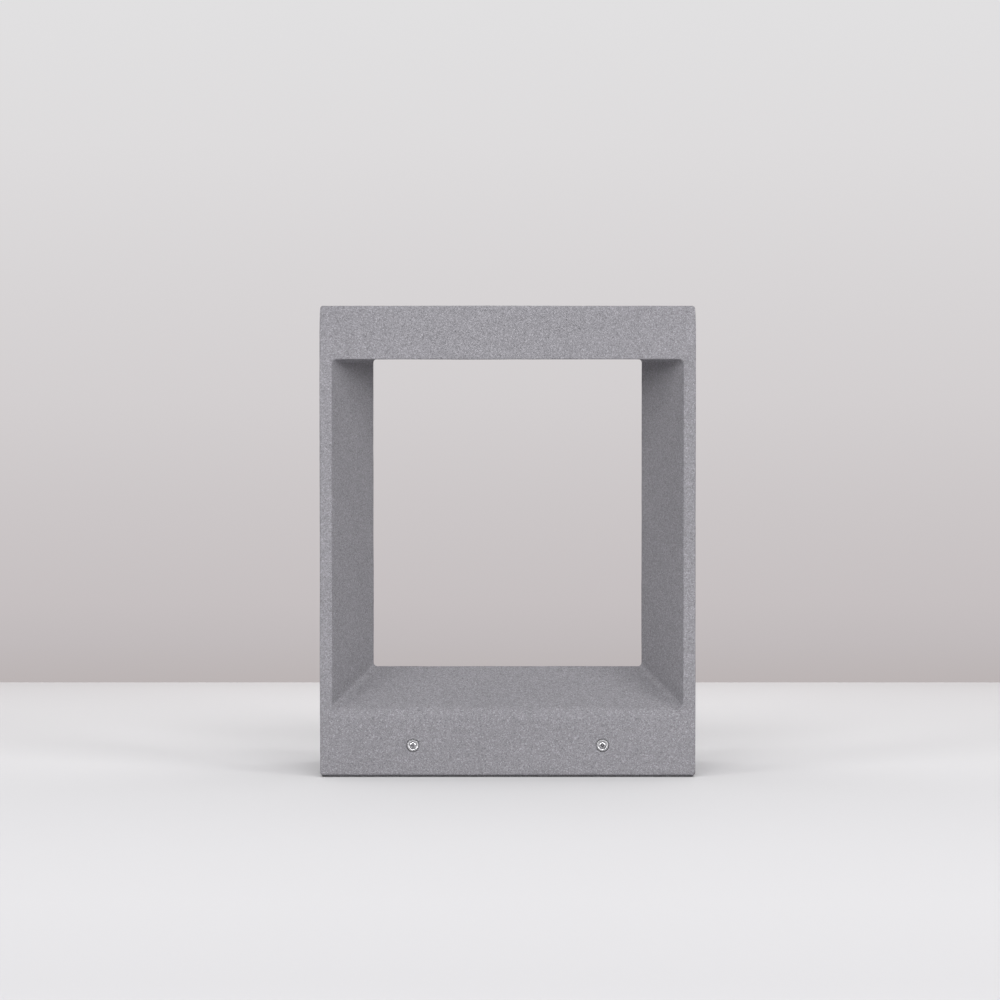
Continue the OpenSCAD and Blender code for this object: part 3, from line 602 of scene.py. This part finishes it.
class Finish:
    """A node material that works from the object's own coordinates, in metres."""

    def __init__(self, name, roughness=0.5, metallic=0.0, **settings):
        self.material = bpy.data.materials.new(name)
        self.material.use_nodes = True
        self.tree = self.material.node_tree
        self.shader = self.tree.nodes["Principled BSDF"]
        self.set("Roughness", roughness)
        self.set("Metallic", metallic)
        for socket, value in settings.items():
            self.set(socket.replace("_", " "), value)
        own = self.tree.nodes.new("ShaderNodeTexCoord")
        self.place, self.facing = own.outputs["Object"], own.outputs["Normal"]

    def set(self, socket, value):
        self.shader.inputs[socket].default_value = value

    def link(self, source, socket):
        self.tree.links.new(source, socket)
        return source

    def stretched(self, stretch):
        mapping = self.tree.nodes.new("ShaderNodeMapping")
        mapping.inputs["Scale"].default_value = stretch
        self.link(self.place, mapping.inputs["Vector"])
        return mapping.outputs["Vector"]

    def axis_of(self, vector, axis):
        split = self.tree.nodes.new("ShaderNodeSeparateXYZ")
        self.link(vector, split.inputs["Vector"])
        return split.outputs[axis]

    def noise(self, size, detail=2.0, stretch=None):
        """Smooth noise whose bumps are about size across."""
        node = self.tree.nodes.new("ShaderNodeTexNoise")
        node.inputs["Scale"].default_value = 1 / size
        node.inputs["Detail"].default_value = detail
        self.link(self.stretched(stretch) if stretch else self.place, node.inputs["Vector"])
        return node.outputs["Fac"]

    def grains(self, size, distance=False):
        """One random value for each grain, or the distance from each grain's middle."""
        node = self.tree.nodes.new("ShaderNodeTexVoronoi")
        node.inputs["Scale"].default_value = 1 / size
        self.link(self.place, node.inputs["Vector"])
        if distance:
            return node.outputs["Distance"]
        split = self.tree.nodes.new("ShaderNodeSeparateColor")
        self.link(node.outputs["Color"], split.inputs["Color"])
        return split.outputs["Red"]

    def ramp(self, value, stops):
        """A value turned into a colour or a number by stops of (position, colour or number)."""
        node = self.tree.nodes.new("ShaderNodeValToRGB")
        elements = node.color_ramp.elements
        while len(elements) < len(stops):
            elements.new(0.5)
        for element, (position, colour) in zip(elements, stops):
            element.position = position
            element.color = (*colour, 1) if isinstance(colour, tuple) else (colour, colour, colour, 1)
        self.link(value, node.inputs["Fac"])
        return node.outputs["Color"]

    def blend(self, a, b, kind="MULTIPLY", share=1.0):
        """Two colours mixed; share is a number or a socket."""
        node = self.tree.nodes.new("ShaderNodeMix")
        node.data_type, node.blend_type = "RGBA", kind
        factor, first, second = (node.inputs[i] for i in (0, 6, 7))
        if isinstance(share, float):
            factor.default_value = share
        else:
            self.link(share, factor)
        self.link(a, first)
        if isinstance(b, tuple):
            second.default_value = (*b, 1)
        else:
            self.link(b, second)
        return node.outputs[2]

    def maths(self, kind, a, b):
        node = self.tree.nodes.new("ShaderNodeMath")
        node.operation = kind
        for value, socket in ((a, node.inputs[0]), (b, node.inputs[1])):
            if isinstance(value, (int, float)):
                socket.default_value = value
            else:
                self.link(value, socket)
        return node.outputs["Value"]

    def colour(self, source):
        self.link(source, self.shader.inputs["Base Color"])

    def rough(self, source, low, high):
        node = self.tree.nodes.new("ShaderNodeMapRange")
        self.link(source, node.inputs["Value"])
        node.inputs["To Min"].default_value = low
        node.inputs["To Max"].default_value = high
        self.link(node.outputs["Result"], self.shader.inputs["Roughness"])

    def bump(self, height, depth, strength=1.0):
        node = self.tree.nodes.new("ShaderNodeBump")
        node.inputs["Strength"].default_value = strength
        node.inputs["Distance"].default_value = depth
        self.link(height, node.inputs["Height"])
        self.link(node.outputs["Normal"], self.shader.inputs["Normal"])


def tinted(colour, share):
    return tuple(c * share for c in colour)


def stone_finish():
    """Fine sand in a grey binder, a little paler on faces that look up as painted light, and darker near the
    floor as painted shade.
    """
    f = Finish("cast_sandstone", 0.92, Specular_IOR_Level=0.25)
    clouds = f.ramp(f.noise(55 * MM, 3), [(0.3, tinted(STONE, 0.97)), (0.7, tinted(STONE, 1.03))])
    patches = f.ramp(f.noise(7 * MM, 3), [(0.3, 0.965), (0.7, 1.0)])
    sand = f.ramp(f.grains(SAND), [(0.0, 0.64), (0.2, 0.87), (0.8, 1.07), (1.0, 1.42)])
    dust = f.ramp(f.noise(DUST, 2), [(0.25, 0.72), (0.75, 1.28)])
    glints = f.ramp(f.grains(BRIGHT_GRAIN), [(0.96, 0.0), (0.975, 1.0)])
    flecks = f.ramp(f.grains(DARK_GRAIN), [(0.982, 0.0), (0.99, 1.0)])
    # painted light: faces that look up are made a little paler
    painted_top_light = f.ramp(f.axis_of(f.facing, "Z"), [(0.5, 1.0), (0.9, TOP_LIGHT_SHARE)])
    # painted shade: the stone is made darker near the floor
    painted_low_shade = f.ramp(f.axis_of(f.place, "Z"), [(0.0, LOW_SHADE_SHARE), (LOW_SHADE_FULL, LOW_SHADE_SHARE), (LOW_SHADE_TOP, 1.0)])
    colour = f.blend(f.blend(f.blend(clouds, patches), sand), dust)
    colour = f.blend(f.blend(colour, painted_top_light), painted_low_shade)
    colour = f.blend(colour, tinted(STONE, 1.6), "MIX", f.maths("MULTIPLY", glints, 0.4))
    colour = f.blend(colour, tinted(STONE, 0.5), "MIX", f.maths("MULTIPLY", flecks, 0.5))
    f.colour(colour)
    f.rough(f.noise(0.8 * MM, 1), 0.85, 0.97)
    height = f.maths("ADD", f.grains(SAND, True), f.maths("MULTIPLY", f.noise(2.2 * MM, 4), 1.6))
    f.bump(height, 0.08 * MM, 0.6)
    return f.material


def metal_finish(name, colour, roughness, grain, stretch, bump=0.01 * MM, spread=0.08):
    """Brushed, machined or cast metal: streaks or grain in its tone, its roughness and its surface."""
    f = Finish(name, roughness, 1.0)
    streaks = f.noise(grain, 3, stretch)
    clouds = f.ramp(f.noise(9 * MM, 2), [(0.3, 0.93), (0.7, 1.0)])
    f.colour(f.blend(f.ramp(streaks, [(0.3, tinted(colour, 0.90)), (0.7, colour)]), clouds))
    f.rough(streaks, roughness - spread, roughness + spread)
    f.bump(streaks, bump)
    return f.material


def galvanised_finish():
    """Hot-dip zinc: large dull spangles."""
    f = Finish("galvanised_zinc", 0.42, 1.0)
    spangle = f.grains(4.5 * MM)
    cloud = f.noise(2 * MM, 4)
    tones = f.ramp(spangle, [(0.0, (0.50, 0.515, 0.53)), (1.0, (0.60, 0.615, 0.63))])
    f.colour(f.blend(tones, f.ramp(cloud, [(0.3, 0.88), (0.7, 1.0)])))
    f.rough(spangle, 0.38, 0.48)
    f.bump(cloud, 0.02 * MM)
    return f.material


def plastic_finish(name, colour, roughness, texture=0.5 * MM, bump=0.02 * MM, **settings):
    """Moulded plastic or rubber: a spark-eroded grain, with slight changes of tone."""
    f = Finish(name, roughness, **settings)
    grain = f.noise(texture, 3)
    tones = f.ramp(f.noise(14 * MM, 2), [(0.3, tinted(colour, 0.90)), (0.7, tinted(colour, 1.05))])
    f.colour(f.blend(tones, f.ramp(grain, [(0.3, 0.93), (0.7, 1.0)])))
    f.rough(grain, roughness - 0.06, roughness + 0.06)
    f.bump(grain, bump)
    return f.material


def foam_finish():
    """Closed-cell foam: small cells, with a painted highlight on their rims and painted shade in their
    middles.
    """
    f = Finish("closed_cell_foam", 0.95, Specular_IOR_Level=0.2)
    cells = f.grains(0.55 * MM, True)
    # painted light and shade: each cell's rim is made lighter and its middle darker
    tones = [(0.1, (0.05, 0.05, 0.052)), (0.5, (0.085, 0.084, 0.088)), (0.9, (0.125, 0.124, 0.13))]
    f.colour(f.ramp(cells, tones))
    f.rough(f.noise(3 * MM, 2), 0.88, 0.98)
    f.bump(cells, 0.08 * MM)
    return f.material


def opal_finish():
    """Opal polycarbonate that scatters light inside, with a fine satin face."""
    f = Finish("opal_polycarbonate", 0.34, Subsurface_Weight=0.35, Subsurface_Scale=2 * MM, IOR=1.58)
    f.set("Subsurface Radius", (1.0, 0.95, 0.9))
    f.colour(f.ramp(f.noise(18 * MM, 2), [(0.3, (0.80, 0.81, 0.80)), (0.7, (0.87, 0.875, 0.86))]))
    f.rough(f.noise(0.4 * MM, 2), 0.30, 0.40)
    f.bump(f.noise(0.4 * MM, 2), 0.004 * MM)
    return f.material


def board_finish():
    """White solder mask over a fine weave, with copper areas standing slightly proud."""
    f = Finish("white_solder_mask", 0.35, Coat_Weight=0.3)
    tracks = f.ramp(f.noise(5 * MM, 0), [(0.48, 0.0), (0.52, 1.0)])
    f.colour(f.ramp(f.noise(0.4 * MM, 2), [(0.3, (0.78, 0.78, 0.75)), (0.7, (0.84, 0.84, 0.81))]))
    f.rough(f.noise(1 * MM, 2), 0.28, 0.42)
    f.bump(tracks, 0.03 * MM)
    return f.material


def led_finish():
    """LED packages filled with yellow phosphor."""
    f = Finish("led_packages", 0.3, Coat_Weight=0.4)
    f.colour(f.ramp(f.noise(0.5 * MM, 2), [(0.3, (0.80, 0.60, 0.10)), (0.7, (0.88, 0.70, 0.16))]))
    f.rough(f.noise(0.3 * MM, 2), 0.22, 0.38)
    f.bump(f.noise(0.3 * MM, 2), 0.01 * MM)
    return f.material


NYLON_PARTS = (
    "cable_bush",
    "inlet_gland_body",
    "inlet_gland_cap",
    "lead_gland_bodies",
    "lead_gland_caps",
    "gland_locknuts",
)
RUBBER_PARTS = ("lid_gasket", "inlet_gland_seal", "lead_gland_seals")


def finishes():
    """The material of every CAD node that stays, by node name."""
    satin = metal_finish("satin_stainless", (0.63, 0.62, 0.61), 0.32, 0.35 * MM, (0.06, 1, 1))
    turned = metal_finish("turned_stainless", (0.66, 0.65, 0.64), 0.26, 0.3 * MM, (1, 1, 0.3))
    zinc = metal_finish("bright_zinc_plate", (0.60, 0.62, 0.66), 0.34, 0.5 * MM, (1, 1, 1))
    brass = metal_finish("turned_brass", (0.72, 0.50, 0.20), 0.30, 0.3 * MM, (0.3, 1, 1))
    cast = metal_finish("die_cast_aluminium", (0.58, 0.59, 0.60), 0.48, 1.2 * MM, (1, 1, 1), 0.03 * MM)
    nylon = plastic_finish("black_nylon", (0.022, 0.022, 0.024), 0.5)
    grey = plastic_finish("grey_moulded_case", (0.060, 0.064, 0.070), 0.48, 0.7 * MM)
    rubber = plastic_finish("black_moulded_rubber", (0.012, 0.012, 0.013), 0.75, 0.9 * MM)
    wire = plastic_finish("wire_insulation", (0.36, 0.045, 0.03), 0.36, 1.5 * MM, 0.006 * MM)
    made = {
        "mounting_bracket": galvanised_finish(),
        "rivet_nuts": zinc,
        "screw_washers": zinc,
        "lid_screws": zinc,
        "box_fixing_screws": zinc,
        "terminal_screws": zinc,
        "terminal_block_screws": zinc,
        "lens_bezel": satin,
        "bezel_screws": turned,
        "board_screws": turned,
        "housing_screws": turned,
        "terminal_sleeves": brass,
        "housing_inserts": brass,
        "led_housing": cast,
        "wiring_box": grey,
        "wiring_box_lid": grey,
        "driver_leads": wire,
        "lead_cores": wire,
        "cable_conduit": plastic_finish("duct_plastic", (0.09, 0.095, 0.10), 0.5, 1.5 * MM),
        "led_lead": plastic_finish("silicone_sheath", (0.014, 0.014, 0.016), 0.6, 1.2 * MM, 0.01 * MM),
        "led_driver": plastic_finish("driver_case", (0.72, 0.72, 0.69), 0.42, 0.8 * MM),
        "terminal_block": plastic_finish(
            "natural_nylon", (0.66, 0.63, 0.54), 0.42, 0.8 * MM, Subsurface_Weight=0.1, Subsurface_Scale=MM
        ),
        "board_connector": plastic_finish("white_nylon", (0.80, 0.80, 0.77), 0.4, 0.6 * MM),
        "thermal_pad": plastic_finish("thermal_silicone", (0.26, 0.34, 0.43), 0.8, 0.5 * MM),
        "lens_gasket": plastic_finish(
            "clear_silicone", (0.62, 0.62, 0.61), 0.45, 1.2 * MM, Subsurface_Weight=0.3, Subsurface_Scale=MM
        ),
        "diffuser_lens": opal_finish(),
        "led_board": board_finish(),
        "led_chips": led_finish(),
    }
    made.update({n: nylon for n in NYLON_PARTS})
    made.update({n: rubber for n in RUBBER_PARTS})
    return made


def dress(obj, material):
    obj.data.materials.clear()
    obj.data.materials.append(material)


# ---- the room, the lights and the camera


def plane(name, corners):
    return mesh_object(name, [Vector(c) for c in corners], [(0, 1, 2, 3)])


def room():
    left, right, front, back = -ROOM_REACH, ROOM_REACH, -ROOM_REACH, WALL_BEHIND
    floor = plane("floor", [(left, front, 0), (right, front, 0), (right, back, 0), (left, back, 0)])
    f = Finish("pale_table", 0.75, Specular_IOR_Level=0.2)
    depth = f.tree.nodes.new("ShaderNodeMapRange")
    f.link(f.axis_of(f.place, "Y"), depth.inputs["Value"])
    depth.inputs["From Min"].default_value = PAINTED_FLOOR_SHADE_FRONT
    depth.inputs["From Max"].default_value = WALL_BEHIND
    # painted shade: the floor's colour is darker towards the camera and paler towards the backdrop
    f.colour(f.ramp(depth.outputs["Result"], PAINTED_FLOOR_SHADE))
    dress(floor, f.material)
    foot, head = WALL_HEIGHTS
    corners = [(left, back, foot), (right, back, foot), (right, back, head), (left, back, head)]
    wall = plane("backdrop", corners)
    dress(wall, glowing_backdrop())


def glowing_backdrop():
    """A backdrop that glows with painted light, darker towards the floor as painted shade, and that can be
    seen through from behind.
    """
    material = bpy.data.materials.new("backdrop")
    material.use_nodes = True
    tree = material.node_tree
    tree.nodes.clear()
    new = tree.nodes.new
    out, mix, glow, clear, geometry = (
        new("ShaderNodeOutputMaterial"), new("ShaderNodeMixShader"), new("ShaderNodeEmission"),
        new("ShaderNodeBsdfTransparent"), new("ShaderNodeNewGeometry"),
    )
    split, rise, ramp = new("ShaderNodeSeparateXYZ"), new("ShaderNodeMapRange"), new("ShaderNodeValToRGB")
    tree.links.new(geometry.outputs["Position"], split.inputs["Vector"])
    tree.links.new(split.outputs["Z"], rise.inputs["Value"])
    rise.inputs["From Max"].default_value = BACKDROP_TOP
    tree.links.new(rise.outputs["Result"], ramp.inputs["Fac"])
    elements = ramp.color_ramp.elements
    while len(elements) < len(BACKDROP_GLOW):
        elements.new(0.5)
    for element, (position, colour) in zip(elements, BACKDROP_GLOW):
        element.position = position
        element.color = (*(((c / 255 + 0.055) / 1.055) ** 2.4 for c in colour), 1)
    tree.links.new(ramp.outputs["Color"], glow.inputs["Color"])
    tree.links.new(geometry.outputs["Backfacing"], mix.inputs["Fac"])
    tree.links.new(glow.outputs["Emission"], mix.inputs[1])
    tree.links.new(clear.outputs["BSDF"], mix.inputs[2])
    tree.links.new(mix.outputs["Shader"], out.inputs["Surface"])
    return material


def softbox(name, place, aim, width, height, power):
    light = bpy.data.lights.new(name, "AREA")
    light.shape, light.size, light.size_y, light.energy = "RECTANGLE", width, height, power
    obj = bpy.data.objects.new(name, light)
    bpy.context.scene.collection.objects.link(obj)
    obj.location = place
    obj.rotation_mode = "QUATERNION"
    obj.rotation_quaternion = (Vector(aim) - Vector(place)).to_track_quat("-Z", "Y")
    obj.visible_camera = False


def lights():
    middle = (cad_low + cad_high) / 2
    for name, place, width, height, power in SOFTBOXES:
        softbox(name, place, middle, width, height, power)
    world = bpy.data.worlds.new("studio")
    bpy.context.scene.world = world
    world.use_nodes = True
    tree = world.node_tree
    background = tree.nodes["Background"]
    seen, path = tree.nodes.new("ShaderNodeMapRange"), tree.nodes.new("ShaderNodeLightPath")
    tree.links.new(path.outputs["Is Camera Ray"], seen.inputs["Value"])
    seen.inputs["To Min"].default_value = WORLD_LIGHT
    seen.inputs["To Max"].default_value = WORLD_SEEN
    tree.links.new(seen.outputs["Result"], background.inputs["Strength"])
    background.inputs["Color"].default_value = (0.98, 0.98, 1.0, 1)


def camera():
    data = bpy.data.cameras.new("camera")
    data.lens = LENS
    data.sensor_width = 36
    data.clip_end = 20
    obj = bpy.data.objects.new("camera", data)
    bpy.context.scene.collection.objects.link(obj)
    obj.location = (CAMERA_ASIDE, cad_low.y - CAMERA_DISTANCE, EYE_HEIGHT)
    aim = Vector((CAMERA_ASIDE, cad_low.y, LOOK_HEIGHT)) - obj.location
    obj.rotation_mode = "QUATERNION"
    obj.rotation_quaternion = aim.to_track_quat("-Z", "Y")
    bpy.context.scene.camera = obj


# ---- the whole object

camera()
lights()
room()
bpy.context.scene.view_settings.view_transform = "Standard"

stone = stone_body()
cut(stone, stone_cutters(), "MANIFOLD")
smooth_by_angle(stone)
dress(stone, stone_finish())
screws = body_screws()
smooth_by_angle(screws, 40)
steel = metal_finish("rolled_stainless", (0.66, 0.655, 0.67), 0.38, 0.3 * MM, (1, 1, 1), 0.004 * MM, 0.05)
dress(screws, steel)
gasket = foam_gasket()
smooth_by_angle(gasket, 60)
dress(gasket, foam_finish())
for piece, node, slot in (
    (stone, "stone_frame", "stone"),
    (screws, "body_screws", "stainless_steel"),
    (gasket, "base_gasket", "foam"),
):
    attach(piece, "root")
    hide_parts(node)

for name, material in finishes().items():
    dress(nodes[name], material)
